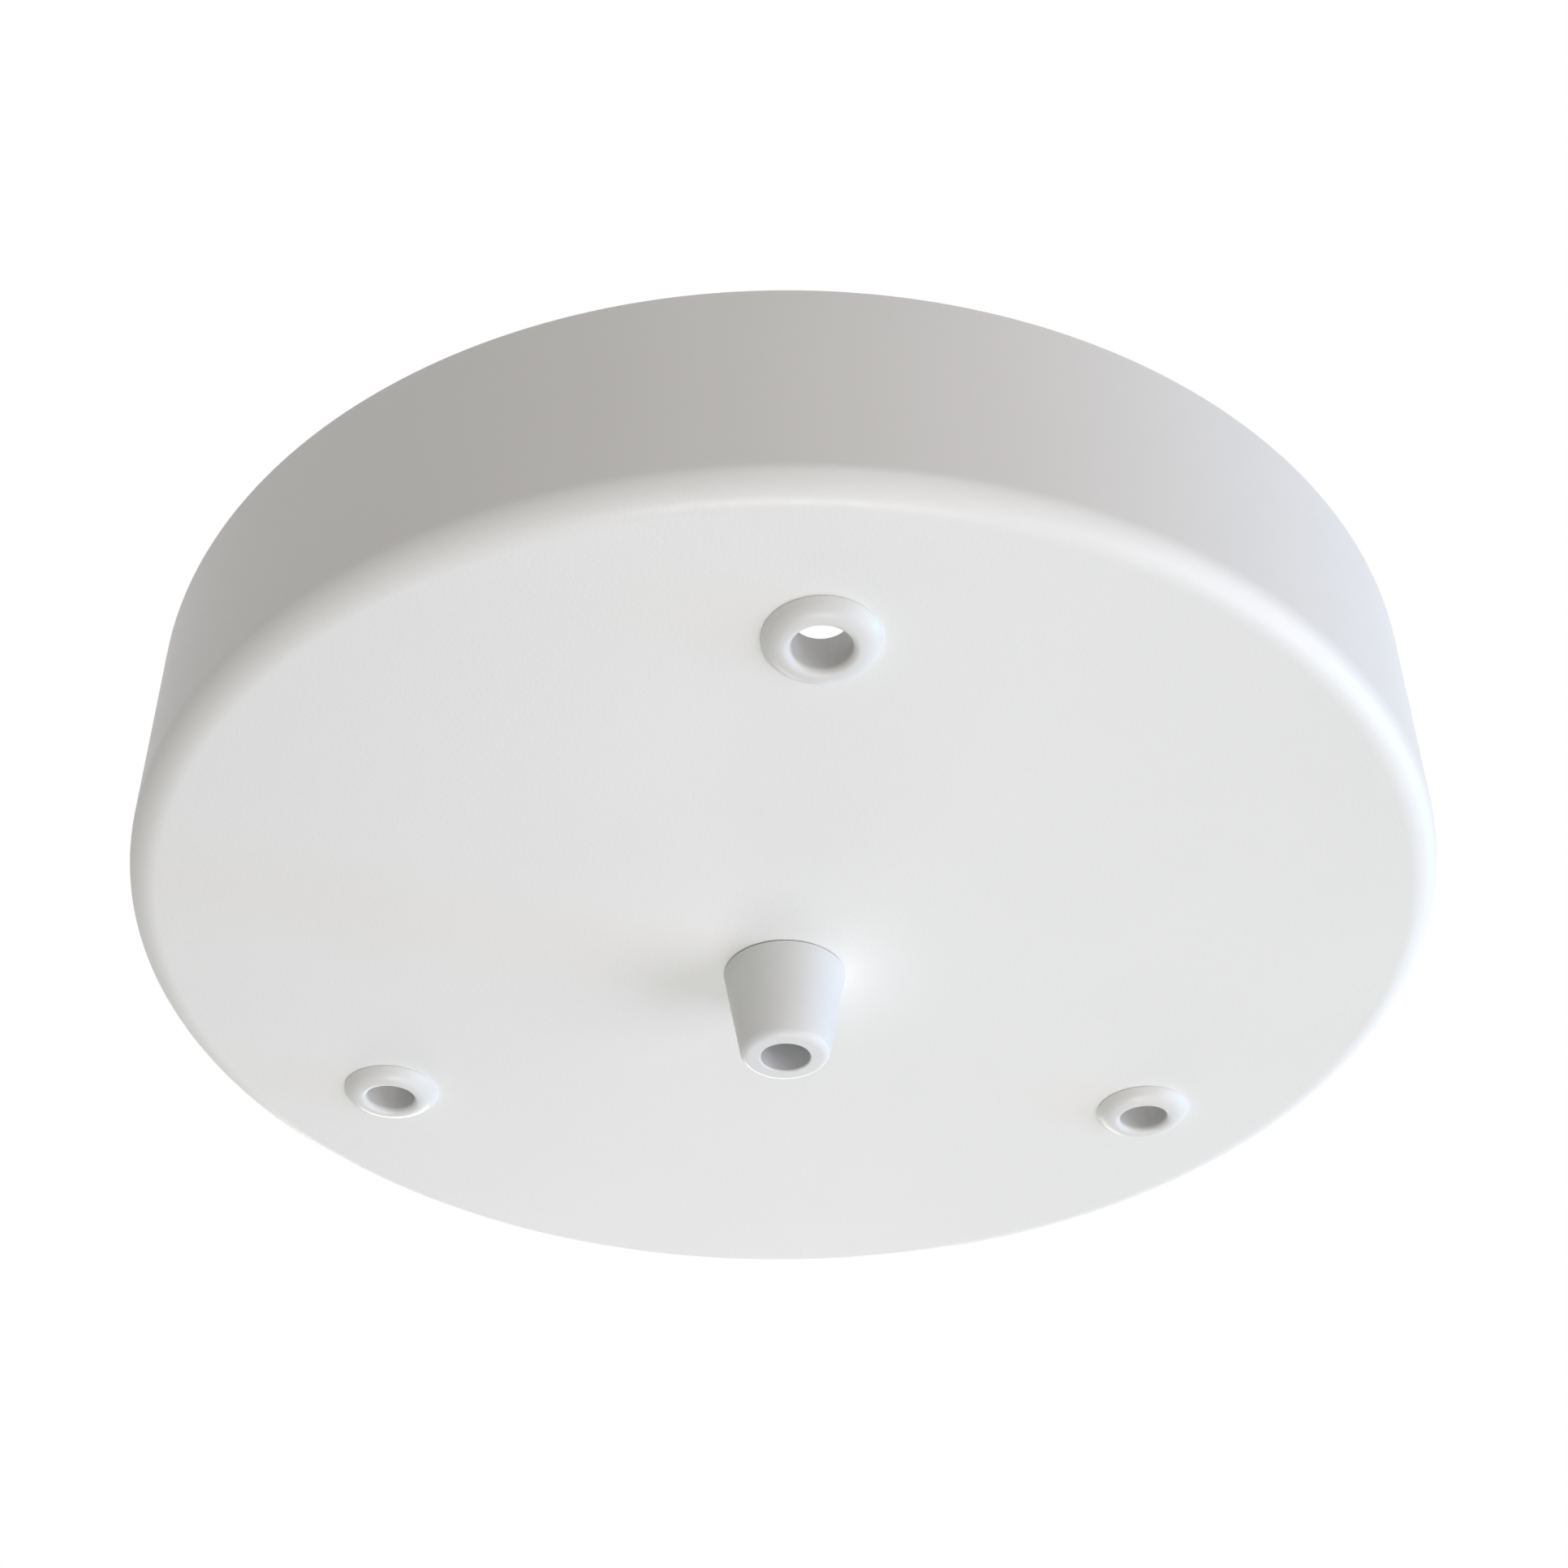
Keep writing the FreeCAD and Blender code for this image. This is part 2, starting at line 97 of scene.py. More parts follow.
class Operation(Enum):
    """What a boolean does with its tool."""

    CUT = "DIFFERENCE"
    KEEP = "INTERSECT"
    ADD = "UNION"


def dimmed(colour: Colour, share: float) -> Colour:
    """The colour with each part multiplied by share."""
    red, green, blue = colour
    return (red * share, green * share, blue * share)


def centre_of(node: str) -> Vector:
    """Middle of a node's box, in metres."""
    low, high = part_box(node)
    return (low + high) / 2


def rounded(corners: Sequence[Corner], hold: float = 0.0) -> list[Point]:
    """Closed outline through corners, each rounded with its own arc.

    Args:
        corners: (across, up, radius) of each corner.
        hold: length of a short straight piece before and after each arc, which keeps flats flat.

    Returns:
        The points of the outline in order.
    """
    points: list[Point] = []
    count = len(corners)
    for i, (x, y, radius) in enumerate(corners):
        here = Vector((x, y))
        if radius <= 0:
            points.append((x, y))
            continue
        back = (Vector(corners[i - 1][:2]) - here).normalized()
        onward = (Vector(corners[(i + 1) % count][:2]) - here).normalized()
        half = back.angle(onward) / 2
        reach = radius / math.tan(half)
        centre = here + (back + onward).normalized() * (radius / math.sin(half))
        start = here + back * reach
        end = here + onward * reach
        if hold:
            points.append(tuple(start + back * hold))
        sweep = math.pi - 2 * half
        pieces = max(2, math.ceil(sweep / ARC_STEP))
        first = start - centre
        turn = sweep if first.x * (end - centre).y - first.y * (end - centre).x > 0 else -sweep
        for k in range(pieces + 1):
            angle = turn * k / pieces
            cos, sin = math.cos(angle), math.sin(angle)
            across = centre.x + first.x * cos - first.y * sin
            up = centre.y + first.x * sin + first.y * cos
            points.append((across, up))
        if hold:
            points.append(tuple(end + onward * hold))
    return points


def link(mesh: bpy.types.Mesh, name: str) -> Piece:
    """Puts a mesh into the scene.

    Args:
        mesh: the mesh to show.
        name: the new object's name.

    Returns:
        The new object.
    """
    made = bpy.data.objects.new(name, mesh)
    bpy.context.scene.collection.objects.link(made)
    return made


def from_faces(name: str, points: Iterable[Sequence[float]], faces: Iterable[Sequence[int]]) -> Piece:
    """Object from points in millimetres and faces, with its normals outwards.

    Args:
        name: the object's name.
        points: the corners, in millimetres.
        faces: the corner numbers of each face.

    Returns:
        The new object.
    """
    mesh = bpy.data.meshes.new(name)
    mesh.from_pydata([Vector(p) * MM for p in points], [], [tuple(f) for f in faces])
    shape = bmesh.new()
    shape.from_mesh(mesh)
    bmesh.ops.recalc_face_normals(shape, faces=shape.faces)
    shape.to_mesh(mesh)
    shape.free()
    return link(mesh, name)


def lathe(name: str, outline: Sequence[Point], segments: int) -> Piece:
    """Solid of revolution about Z.

    Args:
        name: the object's name.
        outline: closed outline of (radius, z) in millimetres. Its first and last point may be on the axis.
        segments: number of steps round the axis.

    Returns:
        The new object.
    """
    points: list[Triple] = []
    rings: list[list[int]] = []
    for radius, z in outline:
        if radius < ON_AXIS:
            rings.append([len(points)] * segments)
            points.append((0.0, 0.0, z))
            continue
        rings.append([len(points) + k for k in range(segments)])
        for k in range(segments):
            angle = FULL_TURN * k / segments
            points.append((radius * math.cos(angle), radius * math.sin(angle), z))
    faces = []
    for i, ring in enumerate(rings):
        following = rings[(i + 1) % len(rings)]
        if len(set(ring)) == 1 and len(set(following)) == 1:
            continue
        for k in range(segments):
            m = (k + 1) % segments
            corners = [ring[k], ring[m], following[m], following[k]]
            faces.append(list(dict.fromkeys(corners)))
    return from_faces(name, points, faces)


def rod(radius: float, start: float, end: float, segments: int = 64) -> Piece:
    """Plain round tool along Z, in millimetres.

    Args:
        radius: its radius.
        start: z of its lower end.
        end: z of its upper end.
        segments: number of steps round it.

    Returns:
        The tool.
    """
    return lathe("rod", [(0.0, start), (radius, start), (radius, end), (0.0, end)], segments)


def prism(name: str, outline: Sequence[Point], low: float, high: float) -> Piece:
    """Straight prism along Z, in millimetres.

    Args:
        name: the object's name.
        outline: closed outline of (x, y).
        low: z of the lower end.
        high: z of the upper end.

    Returns:
        The new object.
    """
    count = len(outline)
    points = [(x, y, low) for x, y in outline] + [(x, y, high) for x, y in outline]
    faces: list[list[int]] = [list(range(count)), list(range(count, 2 * count))]
    for i in range(count):
        k = (i + 1) % count
        faces.append([i, k, count + k, count + i])
    return from_faces(name, points, faces)


def threaded_rod(
    name: str, crest: float, root: float, pitch: float, low: float, high: float
) -> Piece:
    """Right-hand screw thread about Z, longer than asked for at both ends so that its ends can be trimmed.

    Args:
        name: the object's name.
        crest: radius over the thread.
        root: radius at the foot of the thread.
        pitch: advance in one turn.
        low: lower end of the length that is needed.
        high: upper end of the length that is needed.

    Returns:
        The new object, a closed solid.
    """
    profile = tuple(zip(THREAD_FORM, (crest, crest, root, root)))
    steps = THREAD_STEPS
    rows_a_turn = len(profile)
    turns = math.ceil((high - low) / pitch) + 3  # two spare ones below and one above
    rows = turns * rows_a_turn
    start = low - 2 * pitch
    points = []
    for row in range(rows + rows_a_turn):
        phase, radius = profile[row % rows_a_turn]
        base = start + (row // rows_a_turn + phase) * pitch
        for k in range(steps):
            angle = FULL_TURN * k / steps
            points.append((radius * math.cos(angle), radius * math.sin(angle), base + pitch * k / steps))

    def number(row: int, k: int) -> int:
        """Point number; a full turn on, a row is the row of the next turn."""
        return (row + rows_a_turn) * steps if k == steps else row * steps + k

    faces = []
    for row in range(rows - 1):
        for k in range(steps):
            faces.append([number(row, k), number(row, k + 1), number(row + 1, k + 1), number(row + 1, k)])
    for row, z in ((0, start - pitch), (rows - 1, start + (turns + 2) * pitch)):
        hub = len(points)
        points.append((0.0, 0.0, z))
        edge = [number(row, k) for k in range(steps)]
        edge += [number(row + lift, 0) for lift in range(rows_a_turn, 0, -1)]
        for i, corner in enumerate(edge):
            faces.append([corner, edge[(i + 1) % len(edge)], hub])
    made = from_faces(name, points, faces)
    shape = bmesh.new()
    shape.from_mesh(made.data)
    loose = [v for v in shape.verts if not v.link_faces]
    bmesh.ops.delete(shape, geom=loose, context="VERTS")
    shape.to_mesh(made.data)
    shape.free()
    return made


def evaluated(piece: Piece) -> None:
    """Replaces the piece's mesh by its modified one and clears its modifiers.

    Args:
        piece: the object to settle.
    """
    graph = bpy.context.evaluated_depsgraph_get()
    mesh = bpy.data.meshes.new_from_object(piece.evaluated_get(graph))
    piece.modifiers.clear()
    piece.data = mesh


def combine(piece: Piece, tool: Piece, operation: Operation) -> Piece:
    """Boolean of a piece with a tool.

    Args:
        piece: the object that is changed.
        tool: the other object, which is deleted afterwards.
        operation: what the tool does.

    Returns:
        The changed piece.
    """
    change = piece.modifiers.new("combine", "BOOLEAN")
    change.operation = operation.value
    change.solver = "EXACT"
    change.object = tool
    evaluated(piece)
    bpy.data.objects.remove(tool)
    return piece


def joined(name: str, parts: Sequence[Piece]) -> Piece:
    """Gathers several meshes in one object.

    Args:
        name: the new object's name.
        parts: the objects to gather, which are deleted.

    Returns:
        The new object.
    """
    shape = bmesh.new()
    for part in parts:
        copy = part.data.copy()
        copy.transform(part.matrix_world)
        shape.from_mesh(copy)
        bpy.data.objects.remove(part)
    mesh = bpy.data.meshes.new(name)
    shape.to_mesh(mesh)
    shape.free()
    return link(mesh, name)


def moved(piece: Piece, place: Vector, direction: Vector) -> Piece:
    """Moves the mesh of a piece that was made along +Z.

    Args:
        piece: the piece to move.
        place: where its origin goes, in metres.
        direction: where its +Z points afterwards.

    Returns:
        The same piece.
    """
    turn = UP.rotation_difference(direction)
    piece.data.transform(Matrix.Translation(place) @ turn.to_matrix().to_4x4())
    return piece


def softened(piece: Piece, width: float) -> Piece:
    """Rounds the sharp edges of a piece with real geometry.

    Args:
        piece: the piece to soften.
        width: width of the rounding in millimetres.

    Returns:
        The same piece.
    """
    change = piece.modifiers.new("edge", "BEVEL")
    change.width = width * MM
    change.segments = SOFT_STEPS
    change.limit_method = "ANGLE"
    change.angle_limit = math.radians(SOFT_ANGLE)
    change.use_clamp_overlap = True
    evaluated(piece)
    return piece


def shaded(piece: Piece, corner: float = 30.0) -> Piece:
    """Gives a piece smooth shading that keeps its sharp edges.

    Args:
        piece: the piece to shade.
        corner: smallest angle in degrees of an edge that stays sharp.

    Returns:
        The same piece.
    """
    piece.data.shade_smooth()
    piece.data.set_sharp_from_angle(angle=math.radians(corner))
    return piece


class NodeSheet:
    """The node tree of one material, with short calls for the nodes that the finishes share."""

    def __init__(self, name: str) -> None:
        """Starts a material with nothing but a Principled shader.

        Args:
            name: the material's name.
        """
        self.material = bpy.data.materials.new(name)
        self.material.use_nodes = True
        self.tree = self.material.node_tree
        self.tree.nodes.clear()
        output = self.tree.nodes.new("ShaderNodeOutputMaterial")
        self.shader = self.tree.nodes.new("ShaderNodeBsdfPrincipled")
        self.join(self.shader.outputs["BSDF"], output.inputs["Surface"])
        self.place = self.tree.nodes.new("ShaderNodeTexCoord").outputs["Object"]

    def join(self, source: Socket, target: Socket) -> None:
        """Links two sockets."""
        self.tree.links.new(source, target)

    def set(self, **values: float | Triple) -> None:
        """Sets uniform values on the shader's own sockets.

        Args:
            values: the value of each socket; an underscore in a name stands for a space.
        """
        for key, value in values.items():
            self.shader.inputs[key.replace("_", " ")].default_value = value

    def stretched(self, scale: Triple) -> Socket:
        """Object coordinates scaled along each axis.

        Args:
            scale: factor along X, Y and Z.

        Returns:
            The scaled coordinates.
        """
        node = self.tree.nodes.new("ShaderNodeMapping")
        node.inputs["Scale"].default_value = scale
        self.join(self.place, node.inputs["Vector"])
        return node.outputs["Vector"]

    def noise(self, size: float, detail: float, vector: Optional[Socket] = None) -> Socket:
        """Noise whose grains are about size millimetres.

        Args:
            size: width of a grain in millimetres.
            detail: number of finer layers.
            vector: coordinates, or None for the object's own.

        Returns:
            The noise's value socket.
        """
        node = self.tree.nodes.new("ShaderNodeTexNoise")
        node.inputs["Scale"].default_value = 1 / (size * MM)
        node.inputs["Detail"].default_value = detail
        self.join(vector or self.place, node.inputs["Vector"])
        return node.outputs["Fac"]

    def between(self, source: Socket, low: float, high: float) -> Socket:
        """Spreads a noise over a range and holds it there.

        Args:
            source: the noise.
            low: result where the noise is low.
            high: result where the noise is high.

        Returns:
            The mapped value's socket.
        """
        node = self.tree.nodes.new("ShaderNodeMapRange")
        node.inputs["From Min"].default_value = NOISE_LOW
        node.inputs["From Max"].default_value = NOISE_HIGH
        node.inputs["To Min"].default_value = low
        node.inputs["To Max"].default_value = high
        self.join(source, node.inputs["Value"])
        return node.outputs["Result"]

    def mean(self, first: Socket, second: Socket) -> Socket:
        """Mean of two values.

        Args:
            first: one value.
            second: the other value.

        Returns:
            The mean's socket.
        """
        half = self.tree.nodes.new("ShaderNodeMath")
        half.operation = "MULTIPLY"
        half.inputs[1].default_value = 0.5
        self.join(first, half.inputs[0])
        both = self.tree.nodes.new("ShaderNodeMath")
        both.operation = "MULTIPLY_ADD"
        both.inputs[1].default_value = 0.5
        self.join(second, both.inputs[0])
        self.join(half.outputs["Value"], both.inputs[2])
        return both.outputs["Value"]

    def tint(self, factor: Socket, first: Colour, second: Colour) -> None:
        """Lets the base colour drift between two colours.

        Args:
            factor: share of the second colour.
            first: the colour at 0.
            second: the colour at 1.
        """
        node = self.tree.nodes.new("ShaderNodeMix")
        node.data_type = "RGBA"
        self.join(factor, node.inputs["Factor"])
        node.inputs[MIX_FIRST].default_value = (*first, 1.0)
        node.inputs[MIX_SECOND].default_value = (*second, 1.0)
        self.join(node.outputs[MIX_RESULT], self.shader.inputs["Base Color"])

    def dull(self, pattern: Socket, roughness: float, spread: Point) -> None:
        """Lets the roughness follow a noise.

        Args:
            pattern: the noise.
            roughness: the roughness about which it varies.
            spread: what is added to it where the noise is low, and where it is high.
        """
        varied = self.between(pattern, roughness + spread[0], roughness + spread[1])
        self.join(varied, self.shader.inputs["Roughness"])

    def bumps(self, layers: Sequence[tuple[Socket, float]], edge: float = 0.0) -> None:
        """Stacks bump layers, each a height socket and its depth in millimetres, on the shader's normal.

        Args:
            layers: (height, depth) pairs.
            edge: radius in millimetres by which sharp edges catch the light, or 0.
        """
        normal: Optional[Socket] = None
        if edge:
            rounding = self.tree.nodes.new("ShaderNodeBevel")
            rounding.samples = BEVEL_SAMPLES
            rounding.inputs["Radius"].default_value = edge * MM
            normal = rounding.outputs["Normal"]
        for height, depth in layers:
            node = self.tree.nodes.new("ShaderNodeBump")
            node.inputs["Strength"].default_value = 1.0
            node.inputs["Distance"].default_value = depth * MM
            self.join(height, node.inputs["Height"])
            if normal is not None:
                self.join(normal, node.inputs["Normal"])
            normal = node.outputs["Normal"]
        if normal is not None:
            self.join(normal, self.shader.inputs["Normal"])


@dataclass(frozen=True)
class Finish(ABC):
    """A finish, made of nodes. Sizes are in millimetres."""

    name: str
    colour: Colour

    def material(self) -> bpy.types.Material:
        """Builds the node material.

        Returns:
            The new material.
        """
        sheet = NodeSheet(self.name)
        self.lay_on(sheet)
        return sheet.material

    @abstractmethod
    def lay_on(self, sheet: NodeSheet) -> None:
        """Adds the finish's nodes.

        Args:
            sheet: the material's sheet.
        """


@dataclass(frozen=True)
class PowderCoat(Finish):
    """Satin powder coat: a fine grain over a slow ripple."""

    roughness: float = 0.38
    spread: Point = (-0.04, 0.05)
    gloss: float = 0.5
    grain: float = 0.42
    grain_depth: float = 0.02
    ripple: float = 2.6
    ripple_depth: float = 0.01
    cloud: float = 26.0
    shade: float = 0.985

    def lay_on(self, sheet: NodeSheet) -> None:
        """Adds the paint's nodes.

        Args:
            sheet: the material's sheet.
        """
        grain = sheet.noise(self.grain, detail=3.0)
        ripple = sheet.noise(self.ripple, detail=1.0)
        cloud = sheet.between(sheet.noise(self.cloud, detail=3.0), 0.0, 1.0)
        sheet.set(Specular_IOR_Level=self.gloss)
        sheet.tint(cloud, self.colour, dimmed(self.colour, self.shade))
        sheet.dull(grain, self.roughness, self.spread)
        sheet.bumps([(ripple, self.ripple_depth), (grain, self.grain_depth)])


@dataclass(frozen=True)
class MouldedPlastic(Finish):
    """Smooth moulded plastic with a faint mottle and a soft skin. With milk, light sinks into it."""

    roughness: float
    spread: Point = (-0.03, 0.04)
    gloss: float = 0.35
    mottle: float = 4.0
    shade: float = 0.98
    skin: float = 0.5
    skin_depth: float = 0.004
    milk: float = 0.0
    milk_depth: float = 1.2
    milk_reach: Triple = (1.0, 0.9, 0.8)
    edge: float = 0.0

    def lay_on(self, sheet: NodeSheet) -> None:
        """Adds the plastic's nodes.

        Args:
            sheet: the material's sheet.
        """
        mottle = sheet.between(sheet.noise(self.mottle, detail=3.0), 0.0, 1.0)
        skin = sheet.noise(self.skin, detail=2.0)
        sheet.set(Specular_IOR_Level=self.gloss)
        sheet.tint(mottle, self.colour, dimmed(self.colour, self.shade))
        sheet.dull(skin, self.roughness, self.spread)
        if self.milk:
            sheet.set(
                Subsurface_Weight=self.milk,
                Subsurface_Scale=self.milk_depth * MM,
                Subsurface_Radius=self.milk_reach,
            )
        sheet.bumps([(skin, self.skin_depth)], self.edge)


@dataclass(frozen=True)
class PlatedMetal(Finish):
    """Plated or bare metal with a cloudy tarnish, and marks along the axis with the smallest stretch."""

    tarnish: Colour
    roughness: float
    spread: Point = (-0.1, 0.12)
    stretch: Triple = (1.0, 1.0, 1.0)
    mark_size: float = 0.25
    mark_depth: float = 0.006
    cloud: float = 6.0
    edge: float = 0.12

    def lay_on(self, sheet: NodeSheet) -> None:
        """Adds the metal's nodes.

        Args:
            sheet: the material's sheet.
        """
        marks = sheet.noise(self.mark_size, detail=4.0, vector=sheet.stretched(self.stretch))
        cloud = sheet.noise(self.cloud, detail=5.0)
        sheet.set(Metallic=1.0)
        sheet.tint(sheet.between(cloud, 0.0, 1.0), self.colour, self.tarnish)
        sheet.dull(sheet.mean(marks, cloud), self.roughness, self.spread)
        sheet.bumps([(marks, self.mark_depth)], self.edge)


COVER_PAINT = PowderCoat("cover_paint", (0.87, 0.868, 0.855))
GROMMET_PLASTIC = MouldedPlastic("grommet_plastic", (0.785, 0.783, 0.772), 0.34)
GRIP_PLASTIC = MouldedPlastic("grip_plastic", (0.8, 0.803, 0.805), 0.34)
ZINC_PLATE = PlatedMetal(
    "zinc_plate", (0.66, 0.67, 0.68), (0.56, 0.57, 0.585), 0.36, stretch=(0.04, 1.0, 1.0), mark_size=0.3
)
SPRING_STEEL = PlatedMetal("spring_steel", (0.42, 0.41, 0.4), (0.33, 0.32, 0.31), 0.42)
SCREW_STEEL = PlatedMetal(
    "screw_steel", (0.7, 0.7, 0.69), (0.6, 0.6, 0.58), 0.3, mark_size=0.12, mark_depth=0.002
)
BRASS = PlatedMetal(
    "brass", (0.78, 0.6, 0.32), (0.62, 0.47, 0.25), 0.34, stretch=(1.0, 0.05, 1.0), mark_size=0.2
)
TERMINAL_MOULDING = MouldedPlastic("terminal_moulding", (0.82, 0.81, 0.76), 0.42, milk=0.15, edge=0.2)


class Wardrobe:
    """Makes each finish's material once and dresses pieces with it."""

    def __init__(self) -> None:
        """Starts with no materials."""
        self.made: dict[str, bpy.types.Material] = {}

    def dress(self, piece: Piece, finish: Finish) -> None:
        """Gives a piece a finish in place of what it had.

        Args:
            piece: the piece to dress.
            finish: its finish.
        """
        if finish.name not in self.made:
            self.made[finish.name] = finish.material()
        piece.data.materials.clear()
        piece.data.materials.append(self.made[finish.name])


@dataclass
class Assembly:
    """What the sub-assemblies share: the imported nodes, the finishes and how a piece is handed over."""

    nodes: dict[str, Piece]
    wardrobe: Wardrobe

    def hand_over(self, piece: Piece, node: str, slot: str, finish: Finish) -> None:
        """Dresses a modelled piece, puts it on the rose's body and lets it stand for its node.

        Args:
            piece: the modelled piece.
            node: the node that it replaces.
            slot: the material slot of the record; not used.
            finish: its finish.
        """
        self.wardrobe.dress(piece, finish)
        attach(piece, ROSE)
        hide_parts(node)
        log.info("piece %s stands for %s", piece.name, node)

    def carry_over(self, node: str, slot: str, finish: Finish) -> None:
        """Keeps a node's own solid and gives it smooth faces, sharp edges and its finish.

        Args:
            node: the node to keep.
            slot: the material slot of the record; not used.
            finish: its finish.
        """
        piece = self.nodes[node]
        piece.data.shade_smooth()
        weld = piece.modifiers.new("weld", "WELD")
        weld.merge_threshold = WELD_REACH * MM
        split = piece.modifiers.new("split", "EDGE_SPLIT")
        split.split_angle = math.radians(SOLID_CREASE)
        self.wardrobe.dress(piece, finish)
        log.info("node %s keeps its solid", node)


@dataclass
class Cover(Assembly):
    """The drawn steel cover with its grommets. Sizes are in millimetres."""

    draft: float = 3.0
    sheet: float = 1.0
    face_corner: float = 3.4
    edge: float = 0.22
    flat_hold: float = 0.06
    segments: int = 320
    stem_hole: float = 5.1
    outlet_hole: float = 4.8
    outlet_segments: int = 96
    screw_hole: float = 2.0
    screw_segments: int = 48
    hole_chamfer: float = 0.18
    overcut: float = 1.0
    grommets: tuple[str, ...] = ("cable_grommet_1", "cable_grommet_2", "cable_grommet_3")

    def build(self) -> None:
        """Makes the cover and dresses the grommets."""
        low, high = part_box("cover")
        rim = (high.y - low.y) / 2 / MM
        face = low.z / MM
        slope = math.tan(math.radians(self.draft))
        inside = self.sheet / math.cos(math.radians(self.draft))
        inner_corner = self.face_corner - self.sheet
        floor = face + self.sheet
        outline = rounded(
            [
                (self.stem_hole, face, 0.0),
                (rim + face * slope, face, self.face_corner),
                (rim, 0.0, self.edge),
                (rim - inside, 0.0, self.edge),
                (rim + floor * slope - inside, floor, inner_corner),
                (self.stem_hole, floor, 0.0),
            ],
            hold=self.flat_hold,
        )
        shell = lathe("cover_shell", outline, self.segments)
        tools = [self.drill(node, face) for node in self.grommets]
        tools += [self.side_drill(side, node) for side, node in SIDE_SCREWS]
        combine(shell, joined("drills", tools), Operation.CUT)
        shaded(shell)
        self.hand_over(shell, "cover", "cover_paint", COVER_PAINT)
        for node in self.grommets:
            self.carry_over(node, "grommet_plastic", GROMMET_PLASTIC)

    def drill(self, node: str, face: float) -> Piece:
        """Tool for the hole of a grommet, flared at both faces of the sheet.

        Args:
            node: the grommet.
            face: z of the face's outside, in millimetres.

        Returns:
            The tool.
        """
        flare = self.hole_chamfer
        hole = self.outlet_hole
        wide = hole + flare + self.overcut
        outline = [
            (0.0, -self.overcut),
            (wide, -self.overcut),
            (hole, flare),
            (hole, self.sheet - flare),
            (wide, self.sheet + self.overcut),
            (0.0, self.sheet + self.overcut),
        ]
        centre = centre_of(node)
        tool = lathe("drill", outline, self.outlet_segments)
        return moved(tool, Vector((centre.x, centre.y, face * MM)), UP)

    def side_drill(self, side: int, node: str) -> Piece:
        """Tool for the hole of a side screw.

        Args:
            side: -1 for the left and 1 for the right.
            node: the side screw.

        Returns:
            The tool.
        """
        low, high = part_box(node)
        centre = centre_of(node)
        tool = rod(self.screw_hole, 0.0, (high.x - low.x) / MM, self.screw_segments)
        start = Vector((min(abs(low.x), abs(high.x)) * side, centre.y, centre.z))
        return moved(tool, start, Vector((side, 0, 0)))


